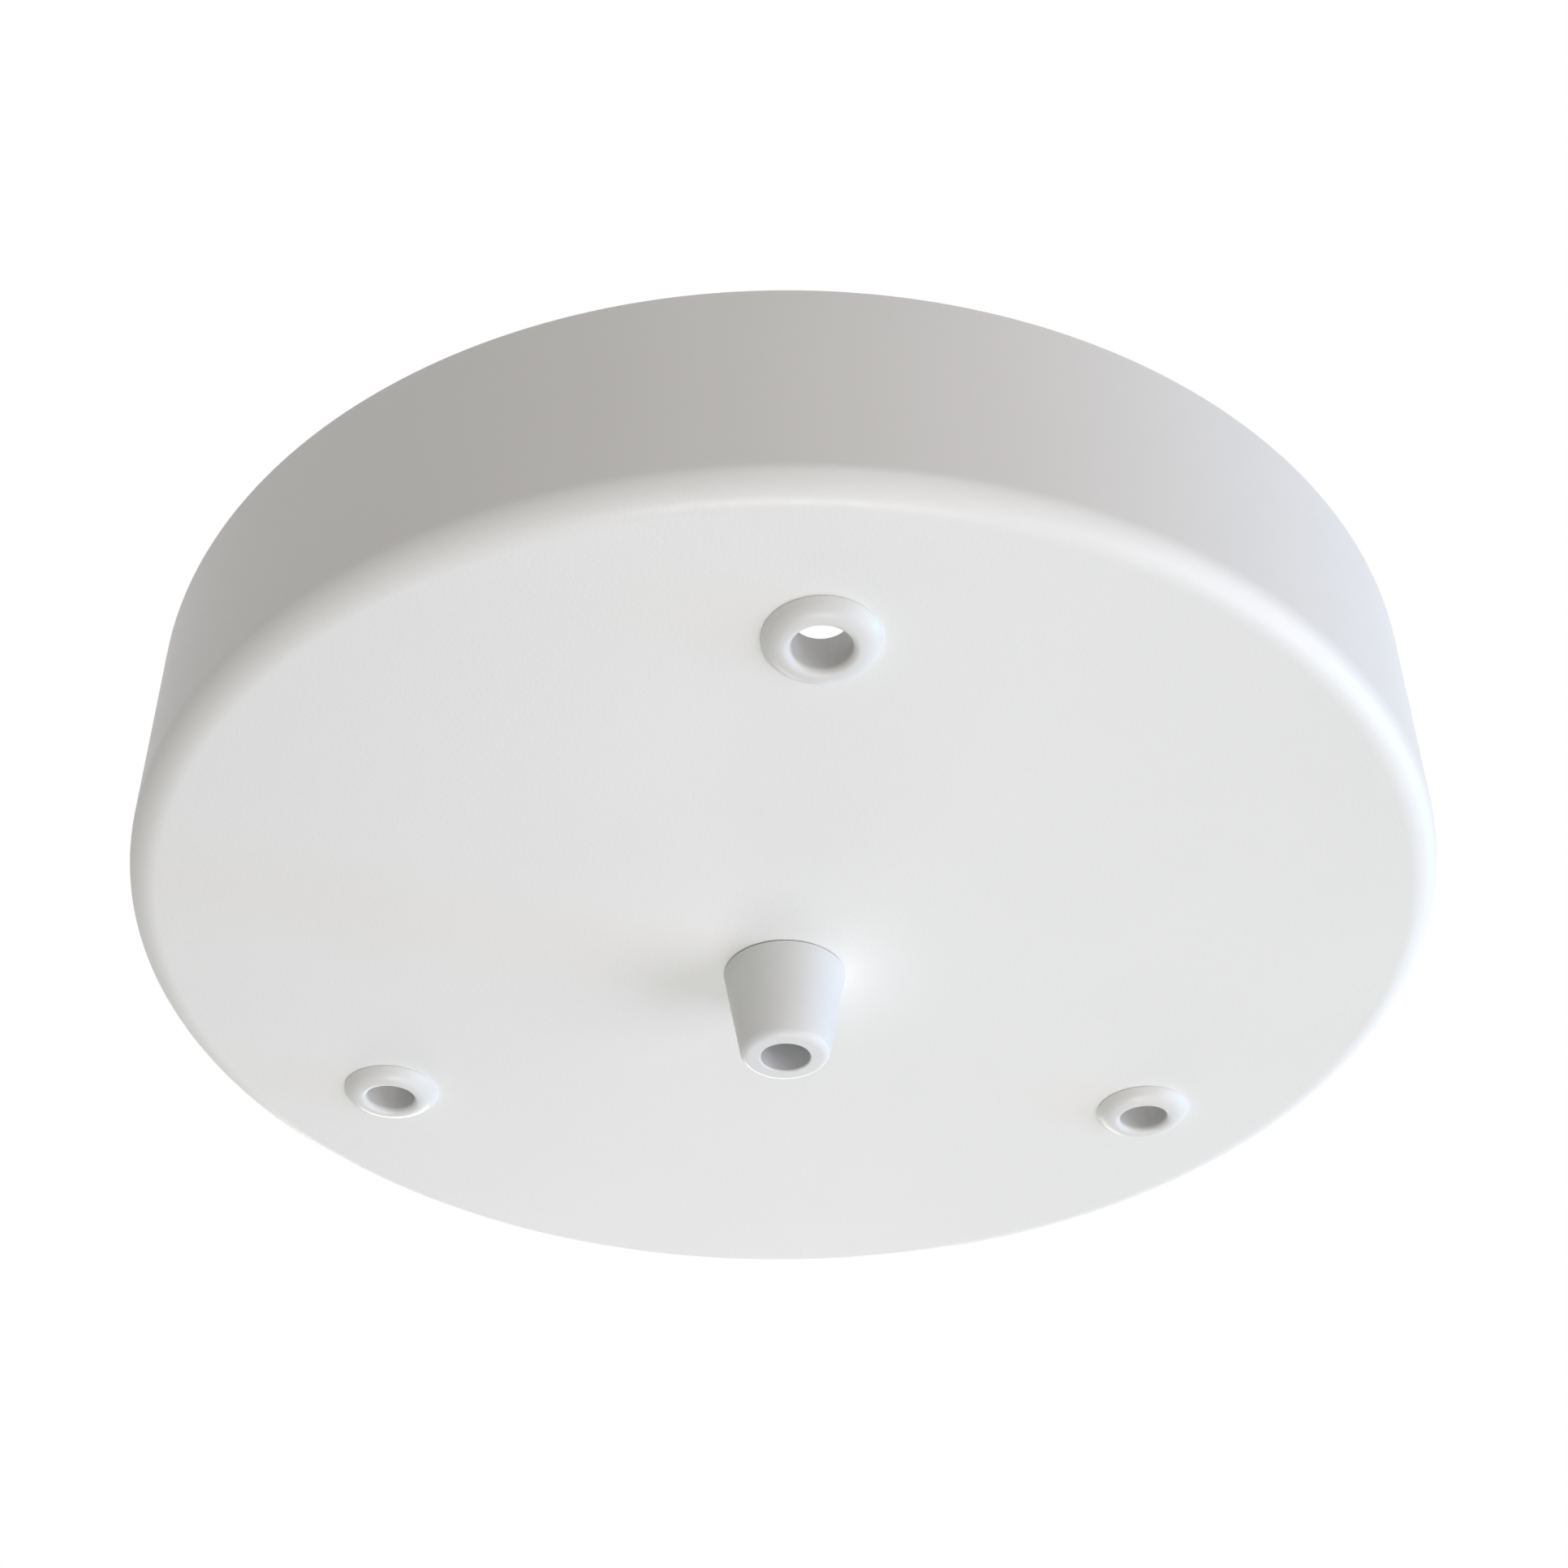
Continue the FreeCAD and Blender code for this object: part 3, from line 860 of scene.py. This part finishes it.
@dataclass
class Screw(Assembly):
    """A machine screw with a rolled thread.

    Sizes are in millimetres. Shares are of the head's height, but the crown's is of its radius, and a wing's
    top and foot are shares of its reach.
    """

    crest: float = 1.7
    root: float = 1.3
    pitch: float = 0.6
    margin: float = 0.2
    bury_share: float = 0.2
    head: float = 7.0
    head_height: float = 2.1
    pan_rim: float = 0.12
    pan_side_share: float = 0.8
    pan_round_share: float = 0.42
    pan_crown_share: float = 0.35
    pan_crown_round: float = 0.6
    cheese_rim: float = 0.1
    cheese_round: float = 0.35
    recess: Recess = Recess.CROSS
    recess_reach: float = 2.1
    recess_width: float = 0.85
    slot_floor_share: float = 0.5
    cross_floor_share: float = 0.2
    wing_top: float = 0.92
    wing_foot: float = 0.3
    overcut: float = 0.5
    segments: int = 64

    def build(self, node: str, direction: Vector, slot: str, finish: PlatedMetal) -> None:
        """Makes the screw where its node is.

        Args:
            node: the node that the screw stands for.
            direction: from the point to the head.
            slot: the material slot of the record.
            finish: its finish.
        """
        low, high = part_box(node)
        half = abs((high - low).dot(direction)) / 2
        seat = centre_of(node) + direction * (half - self.head_height * MM)
        length = 2 * half / MM - self.head_height
        screw = joined(node + "_threaded", [self.shank(length), self.head_solid()])
        moved(screw, seat, direction)
        shaded(screw, THREAD_CREASE)
        self.hand_over(screw, node, slot, finish)

    def shank(self, length: float) -> Piece:
        """Threaded shank from the seat down, with a chamfered point.

        Args:
            length: distance from the seat to the point.

        Returns:
            The shank along +Z, with the seat at the origin.
        """
        thread = threaded_rod("shank", self.crest, self.root, self.pitch, -length, 0.0)
        point = self.crest / 3
        bury = self.head_height * self.bury_share
        trim = lathe(
            "trim",
            [
                (0.0, -length),
                (self.crest - point, -length),
                (self.crest + self.margin, -length + point + self.margin),
                (self.crest + self.margin, bury),
                (0.0, bury),
            ],
            self.segments,
        )
        return combine(thread, trim, Operation.KEEP)

    def head_solid(self) -> Piece:
        """Head with its drive cut in.

        Returns:
            The head along +Z, with the seat at the origin.
        """
        radius, top = self.head / 2, self.head_height
        if self.recess is Recess.CROSS:
            corners = [
                (0.0, 0.0, 0.0),
                (radius, 0.0, self.pan_rim),
                (radius, top * self.pan_side_share, top * self.pan_round_share),
                (radius * self.pan_crown_share, top, self.pan_crown_round),
                (0.0, top, 0.0),
            ]
        else:
            corners = [
                (0.0, 0.0, 0.0),
                (radius, 0.0, self.cheese_rim),
                (radius, top, self.cheese_round),
                (0.0, top, 0.0),
            ]
        solid = lathe("head", rounded(corners), self.segments)
        return combine(solid, self.drive(), Operation.CUT)

    def drive(self) -> Piece:
        """Tool that cuts the drive: a slot, or two tapered wings that cross.

        Returns:
            The tool.
        """
        top = self.head_height + self.overcut
        width = self.recess_width / 2
        if self.recess is Recess.SLOT:
            half = self.head / 2 + self.overcut
            outline = [(-half, -width), (half, -width), (half, width), (-half, width)]
            return prism("drive", outline, self.head_height * self.slot_floor_share, top)
        wings = []
        reach = self.recess_reach
        floor = self.head_height * self.cross_floor_share
        for turn in (0.0, math.pi / 2):
            outline = [
                (-reach, top),
                (-reach * self.wing_top, self.head_height),
                (-reach * self.wing_foot, floor),
                (reach * self.wing_foot, floor),
                (reach * self.wing_top, self.head_height),
                (reach, top),
            ]
            wing = prism("wing", outline, -width, width)
            stand = Quaternion((1, 0, 0), math.pi / 2)
            spin = Quaternion((0, 0, 1), turn)
            wing.data.transform((spin @ stand).to_matrix().to_4x4())
            wings.append(wing)
        return combine(wings[0], wings[1], Operation.ADD)


@dataclass
class CordGrip(Assembly):
    """The cord grip: cap, split ring, threaded stem, toothed washer and nut. Sizes are in millimetres."""

    thread: float = 5.0
    root: float = 4.42
    pitch: float = 1.0
    bore: float = 3.2
    end_chamfer: float = 0.5
    seat_width: float = 1.1
    seat_depth: float = 1.8
    margin: float = 0.3
    collar_flats: float = 10.8
    collar_height: float = 1.5
    collar_edge: float = 0.15
    room_below: float = 3.0
    room_above: float = 1.0
    segments: int = 96

    def build(self) -> None:
        """Makes the threaded stem and dresses the rest."""
        self.stem()
        self.carry_over("grip_cap", "grip_plastic", GRIP_PLASTIC)
        self.carry_over("grip_ring", "grip_plastic", GRIP_PLASTIC)
        self.carry_over("grip_nut", "zinc_plate", ZINC_PLATE)
        self.carry_over("grip_lock_washer", "spring_steel", SPRING_STEEL)

    def stem(self) -> None:
        """Hollow stem with its thread, hexagonal collar and conical seat."""
        low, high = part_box("grip_stem")
        foot, top = low.z / MM, high.z / MM
        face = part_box("cover")[0].z / MM
        over = self.thread + self.margin
        trim = lathe(
            "trim",
            [
                (self.bore, top),
                (self.thread - self.end_chamfer, top),
                (over, top - self.end_chamfer - self.margin),
                (over, foot + self.end_chamfer + self.margin),
                (self.thread - self.end_chamfer, foot),
                (self.bore + self.seat_width, foot),
                (self.bore, foot + self.seat_depth),
            ],
            self.segments,
        )
        thread = threaded_rod("grip_stem_threaded", self.thread, self.root, self.pitch, foot, top)
        stem = combine(thread, trim, Operation.KEEP)
        corner = self.collar_flats / math.sqrt(3)
        angles = [FULL_TURN * k / 6 for k in range(6)]
        hexagon = [(corner * math.cos(angle), corner * math.sin(angle)) for angle in angles]
        collar = prism("collar", hexagon, face - self.collar_height, face)
        room = rod(self.root, face - self.room_below, face + self.room_above, self.segments)
        combine(collar, room, Operation.CUT)
        stem = joined("grip_stem_threaded", [stem, softened(collar, self.collar_edge)])
        shaded(stem, THREAD_CREASE)
        self.hand_over(stem, "grip_stem", "grip_plastic", GRIP_PLASTIC)


@dataclass
class Strap(Assembly):
    """The bent strap with its tapped collars. Sizes are in millimetres."""

    sheet: float = 1.5
    bend: float = 1.5
    tab_corner: float = 3.0
    centre_hole: float = 5.25
    centre_segments: int = 96
    slot_length: float = 18.0
    slot_width: float = 4.8
    slot_offset: float = 50.0
    edge: float = 0.22
    collar_drop: float = 2.0
    collar_wall: float = 1.2
    collar_bury: float = 0.3
    collar_foot: float = 0.35
    collar_lip_outside: float = 0.3
    collar_lip_inside: float = 0.25
    collar_segments: int = 64
    earth_tapped: float = 2.0
    side_tapped: float = 1.75
    fixing: float = 1.5
    overcut: float = 1.0

    def build(self) -> None:
        """Makes the strap."""
        low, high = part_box("strap")
        half_length = high.x / MM
        half_width = high.y / MM
        drop = low.z / MM
        outer = self.bend + self.sheet
        view = rounded(
            [
                (-half_length, 0.0, outer),
                (half_length, 0.0, outer),
                (half_length, drop, 0.0),
                (half_length - self.sheet, drop, 0.0),
                (half_length - self.sheet, -self.sheet, self.bend),
                (-half_length + self.sheet, -self.sheet, self.bend),
                (-half_length + self.sheet, drop, 0.0),
                (-half_length, drop, 0.0),
            ]
        )
        strip = prism("strap_sheet", view, -half_width, half_width)
        strip.data.transform(Quaternion((1, 0, 0), math.pi / 2).to_matrix().to_4x4())
        end_view = rounded(
            [
                (-half_width, self.overcut, 0.0),
                (half_width, self.overcut, 0.0),
                (half_width, drop, self.tab_corner),
                (-half_width, drop, self.tab_corner),
            ]
        )
        envelope = prism("envelope", end_view, -half_length - self.overcut, half_length + self.overcut)
        x_to_y_to_z = Matrix(((0, 0, 1, 0), (1, 0, 0, 0), (0, 1, 0, 0), (0, 0, 0, 1)))
        envelope.data.transform(x_to_y_to_z)
        combine(strip, envelope, Operation.KEEP)
        combine(strip, joined("punches", self.punches(half_length)), Operation.CUT)
        softened(strip, self.edge)
        strap = joined("strap_sheet", [strip, *self.collars(half_length)])
        shaded(strap)
        self.hand_over(strap, "strap", "zinc_plate", ZINC_PLATE)

    def tab_place(self, half_length: float, side: int, node: str) -> Vector:
        """Where a side screw meets the inside of its tab, in metres.

        Args:
            half_length: distance from the middle to the outside of a tab.
            side: -1 for the left and 1 for the right.
            node: the side screw.

        Returns:
            The place.
        """
        return Vector((side * (half_length - self.sheet) * MM, 0, centre_of(node).z))

    def punches(self, half_length: float) -> list[Piece]:
        """Tools for every hole and slot of the strap.

        Args:
            half_length: distance from the middle to the outside of a tab.

        Returns:
            The tools.
        """
        below = -self.sheet - self.overcut
        tools = [rod(self.centre_hole, below, self.overcut, self.centre_segments)]
        upright = [("earth_screw", self.earth_tapped)]
        upright += [(f"terminal_fixing_screw_{i}", self.fixing) for i in (1, 2)]
        for node, radius in upright:
            tools.append(moved(rod(radius, below, self.overcut), Vector((centre_of(node).x, 0, 0)), UP))
        end = self.slot_width / 2
        reach = self.slot_length / 2
        turn = end * 0.999  # a hair under the half width, which leaves a flat between the two arcs
        for side, node in SIDE_SCREWS:
            tool = rod(self.side_tapped, -self.overcut, self.sheet + self.overcut)
            tools.append(moved(tool, self.tab_place(half_length, side, node), Vector((side, 0, 0))))
            middle = side * self.slot_offset
            outline = rounded(
                [
                    (middle - reach, -end, turn),
                    (middle + reach, -end, turn),
                    (middle + reach, end, turn),
                    (middle - reach, end, turn),
                ]
            )
            tools.append(prism("punch", outline, below, self.overcut))
        return tools

    def collars(self, half_length: float) -> list[Piece]:
        """Drawn collars round the tapped holes.

        Args:
            half_length: distance from the middle to the outside of a tab.

        Returns:
            The collars in their places.
        """
        earth = Vector((centre_of("earth_screw").x, 0, -self.sheet * MM))
        made = [moved(self.collar(self.earth_tapped), earth, DOWN)]
        for side, node in SIDE_SCREWS:
            place = self.tab_place(half_length, side, node)
            made.append(moved(self.collar(self.side_tapped), place, Vector((-side, 0, 0))))
        return made

    def collar(self, tapped: float) -> Piece:
        """One collar that rises from the sheet with a soft foot.

        Args:
            tapped: radius of the tapped hole.

        Returns:
            The collar along +Z, with the sheet's face at the origin.
        """
        outer = tapped + self.collar_wall
        foot = self.collar_foot
        outline = rounded(
            [
                (tapped, -self.collar_bury, 0.0),
                (outer + foot, -self.collar_bury, 0.0),
                (outer + foot, 0.0, 0.0),
                (outer, foot, 0.0),
                (outer, self.collar_drop, self.collar_lip_outside),
                (tapped, self.collar_drop, self.collar_lip_inside),
            ]
        )
        return lathe("collar", outline, self.collar_segments)


@dataclass
class Hardware(Assembly):
    """The side screws, the earth terminal and the terminal block."""

    poles: int = 3

    def build(self) -> None:
        """Makes every screw and dresses the rest of the block."""
        common = {"nodes": self.nodes, "wardrobe": self.wardrobe}
        side_screw = Screw(**common)
        for side, node in SIDE_SCREWS:
            side_screw.build(node, Vector((side, 0, 0)), "screw_steel", SCREW_STEEL)
        earth = Screw(
            **common,
            crest=1.95,
            root=1.52,
            pitch=0.7,
            head=7.6,
            head_height=2.4,
            recess_reach=2.4,
            recess_width=0.95,
        )
        earth.build("earth_screw", DOWN, "brass_parts", BRASS)
        slotted = {"crest": 1.45, "root": 1.1, "pitch": 0.5, "head_height": 1.8, "recess": Recess.SLOT}
        fixing = Screw(**common, **slotted, head=5.0, recess_width=0.7)
        clamp = Screw(**common, **slotted, head=3.8, recess_width=0.6)
        for i in range(1, self.poles):
            fixing.build(f"terminal_fixing_screw_{i}", DOWN, "screw_steel", SCREW_STEEL)
        for i in range(1, self.poles + 1):
            for row in ("front", "back"):
                clamp.build(f"terminal_screw_{row}_{i}", DOWN, "screw_steel", SCREW_STEEL)
            self.carry_over(f"terminal_tube_{i}", "brass_parts", BRASS)
        self.carry_over("earth_clamp", "brass_parts", BRASS)
        self.carry_over("terminal_body", "terminal_moulding", TERMINAL_MOULDING)


@dataclass(frozen=True)
class Lamp:
    """A square soft lamp, aimed at one point.

    Angles are in degrees about that point, lengths in metres and power in watts. Without shine, nothing
    mirrors it.
    """

    name: str
    azimuth: float
    elevation: float
    distance: float
    side: float
    power: float
    colour: Colour
    shine: bool = True

    def hang(self, target: Vector) -> None:
        """Places the lamp.

        Args:
            target: what it is aimed at.
        """
        data = bpy.data.lights.new(self.name, "AREA")
        data.shape = "SQUARE"
        data.size = self.side
        data.energy = self.power
        data.color = self.colour
        lamp = bpy.data.objects.new(self.name, data)
        bpy.context.scene.collection.objects.link(lamp)
        turn, rise = math.radians(self.azimuth), math.radians(self.elevation)
        away = Vector((math.cos(turn) * math.cos(rise), math.sin(turn) * math.cos(rise), math.sin(rise)))
        lamp.location = target + away * self.distance
        lamp.rotation_mode = "QUATERNION"
        lamp.rotation_quaternion = (-away).to_track_quat("-Z", "Y")
        lamp.visible_camera = False
        lamp.visible_glossy = self.shine


@dataclass
class Studio:
    """Camera, lamps, pale surroundings and floor.

    Lengths are in millimetres, but the camera's clipping is in metres. Each entry of the sky is a height,
    which is the sine of an elevation, and the colour of the light from there.
    """

    camera_place: Triple = (-13.497, -194.855, -165.177)
    camera_right: Triple = (0.997969, -0.063206, -0.007916)
    camera_up: Triple = (-0.03519, -0.650621, 0.758587)
    lens: float = 44.171
    sensor: float = 36.0
    clip: Point = (0.01, 50.0)
    lamp_aim: Triple = (0.0, 0.0, -28.5)
    floor_drop: float = 2300.0
    floor_side: float = 12000.0
    floor_colour: Colour = (0.9, 0.9, 0.895)
    floor_shade: float = 0.98
    floor_mottle: float = 60.0
    floor_roughness: float = 0.8
    sky: tuple[tuple[float, Colour], ...] = (
        (-0.5, (0.02, 0.02, 0.02)),
        (-0.15, (0.36, 0.35, 0.24)),
        (0.03, (0.44, 0.41, 0.43)),
        (0.4, (0.44, 0.41, 0.43)),
        (0.7, (0.03, 0.03, 0.03)),
    )
    lamps: tuple[Lamp, ...] = (
        Lamp("below", 0.0, -90.0, 1.3, 0.36, 5.6, (1.0, 1.0, 1.0)),
        Lamp("front_high", -85.0, 8.0, 1.5, 0.8, 3.1, (1.0, 0.98, 0.96)),
        Lamp("front_mid", -80.0, -25.0, 1.5, 0.8, 1.1, (1.0, 1.0, 1.0)),
        Lamp("front_low", -85.0, -58.0, 1.3, 0.9, 1.3, (1.0, 1.0, 0.98)),
        Lamp("window_high", -12.0, -24.0, 0.8, 0.7, 3.3, (0.93, 0.91, 1.0)),
        Lamp("window_low", -20.0, -55.0, 1.0, 0.7, 1.2, (1.0, 1.0, 1.0)),
        Lamp("sky", 12.0, -6.0, 1.0, 0.12, 2.0, (0.03, 0.5, 1.0)),
        Lamp("far", 80.0, -60.0, 0.36, 0.2, 0.22, (1.0, 1.0, 1.0)),
        Lamp("back", 95.0, 3.0, 1.5, 0.8, 8.0, (1.0, 1.0, 1.0)),
        Lamp("above", 0.0, 90.0, 40.0, 10.0, 10500.0, (1.0, 1.0, 1.0), shine=False),
    )

    def build(self) -> None:
        """Sets the stage."""
        scene = bpy.context.scene
        scene.view_settings.view_transform = "Standard"
        self.camera(scene)
        self.surroundings(scene)
        self.floor()
        for lamp in self.lamps:
            lamp.hang(Vector(self.lamp_aim) * MM)

    def camera(self, scene: bpy.types.Scene) -> None:
        """Places the camera below the rose, looking up at it.

        Args:
            scene: the scene that it films.
        """
        data = bpy.data.cameras.new("camera")
        data.lens = self.lens
        data.sensor_width = self.sensor
        data.clip_start, data.clip_end = self.clip
        camera = bpy.data.objects.new("camera", data)
        scene.collection.objects.link(camera)
        right = Vector(self.camera_right)
        up = Vector(self.camera_up)
        turn = Matrix((right, up, right.cross(up))).transposed().to_4x4()
        camera.matrix_world = Matrix.Translation(Vector(self.camera_place) * MM) @ turn
        scene.camera = camera

    def surroundings(self, scene: bpy.types.Scene) -> None:
        """Makes a world that lights softly, mostly from the sides, and is seen and mirrored white.

        Args:
            scene: the scene that it surrounds.
        """
        world = bpy.data.worlds.new("surroundings")
        scene.world = world
        world.use_nodes = True
        tree = world.node_tree
        tree.nodes.clear()
        output = tree.nodes.new("ShaderNodeOutputWorld")
        soft = tree.nodes.new("ShaderNodeBackground")
        seen = tree.nodes.new("ShaderNodeBackground")
        seen.inputs["Color"].default_value = (1.0, 1.0, 1.0, 1.0)
        seen.inputs["Strength"].default_value = 1.0
        way = tree.nodes.new("ShaderNodeTexCoord")
        parts = tree.nodes.new("ShaderNodeSeparateXYZ")
        height = tree.nodes.new("ShaderNodeMapRange")
        height.inputs["From Min"].default_value = -1.0
        ramp = tree.nodes.new("ShaderNodeValToRGB")
        stops = ramp.color_ramp.elements
        while len(stops) < len(self.sky):
            stops.new(1.0)
        for stop, (rise, colour) in zip(stops, self.sky):
            stop.position = (rise + 1) / 2
            stop.color = (*colour, 1.0)
        tree.links.new(way.outputs["Generated"], parts.inputs["Vector"])
        tree.links.new(parts.outputs["Z"], height.inputs["Value"])
        tree.links.new(height.outputs["Result"], ramp.inputs["Fac"])
        tree.links.new(ramp.outputs["Color"], soft.inputs["Color"])
        path = tree.nodes.new("ShaderNodeLightPath")
        sight = path.outputs["Is Camera Ray"]
        for kind in ("Is Glossy Ray", "Is Transmission Ray"):
            either = tree.nodes.new("ShaderNodeMath")
            either.operation = "MAXIMUM"
            tree.links.new(sight, either.inputs[0])
            tree.links.new(path.outputs[kind], either.inputs[1])
            sight = either.outputs["Value"]
        choice = tree.nodes.new("ShaderNodeMixShader")
        tree.links.new(sight, choice.inputs["Fac"])
        tree.links.new(soft.outputs["Background"], choice.inputs[1])
        tree.links.new(seen.outputs["Background"], choice.inputs[2])
        tree.links.new(choice.outputs["Shader"], output.inputs["Surface"])

    def floor(self) -> None:
        """Pale floor far below, which neither throws light on the rose nor keeps the world's from it."""
        half = self.floor_side / 2
        low = -self.floor_drop
        corners = [(-half, -half, low), (half, -half, low), (half, half, low), (-half, half, low)]
        floor = from_faces("floor", corners, [(0, 1, 2, 3)])
        sheet = NodeSheet("floor_paint")
        mottle = sheet.noise(self.floor_mottle, detail=2.0)
        sheet.tint(mottle, self.floor_colour, dimmed(self.floor_colour, self.floor_shade))
        sheet.set(Roughness=self.floor_roughness)
        floor.data.materials.append(sheet.material)
        floor.visible_diffuse = False
        floor.visible_shadow = False


def main() -> None:
    """Builds every sub-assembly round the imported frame."""
    logging.basicConfig(level=logging.INFO, format="%(message)s")
    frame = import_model()
    wardrobe = Wardrobe()
    Studio().build()
    for assembly in (Cover, CordGrip, Strap, Hardware):
        log.info("building %s", assembly.__name__)
        assembly(nodes=frame["nodes"], wardrobe=wardrobe).build()


if __name__ == "__main__":
    main()
